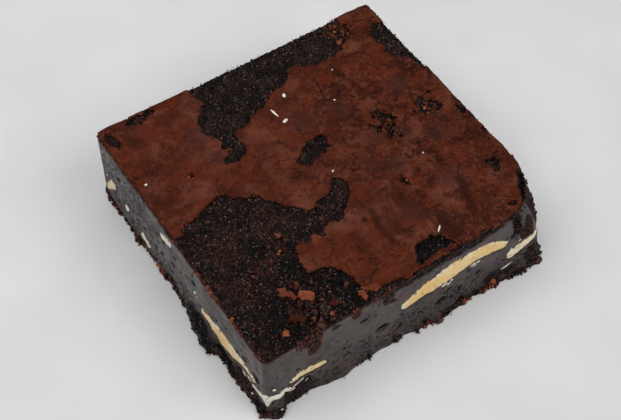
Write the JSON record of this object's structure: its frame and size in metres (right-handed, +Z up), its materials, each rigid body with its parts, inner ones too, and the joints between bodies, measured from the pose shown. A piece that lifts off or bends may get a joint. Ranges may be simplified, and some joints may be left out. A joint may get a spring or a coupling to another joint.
{
  "type": "chocolate brownie",
  "caption": "Square of dense dark chocolate brownie with a thin flaking papery crust on top and chunks of white chocolate showing at its cut sides.",
  "frame": {"origin": "on the resting plane, under the middle of the brownie's own box", "axes": "+Z up, square to the crust; the left cut side faces -X and the front cut side faces -Y"},
  "size_m": [0.0751, 0.0698, 0.0216],
  "materials": {
    "chocolate_crumb": "dense moist near-black cake crumb, smooth sheen where cut",
    "white_chocolate": "cream coloured white chocolate, satin"
  },
  "bodies": {
    "root": {"crumb": "chocolate_crumb", "chunk_front_large": "white_chocolate", "chunk_front_small": "white_chocolate", "chunk_right_corner": "white_chocolate", "chunk_left_corner": "white_chocolate", "chunk_left_large": "white_chocolate", "chip_left_1": "white_chocolate", "chip_left_2": "white_chocolate", "chip_left_3": "white_chocolate", "chip_left_4": "white_chocolate", "chunk_back_large": "white_chocolate", "chip_back": "white_chocolate", "chunk_right_large": "white_chocolate", "chip_right": "white_chocolate"}
  },
  "joints": []
}
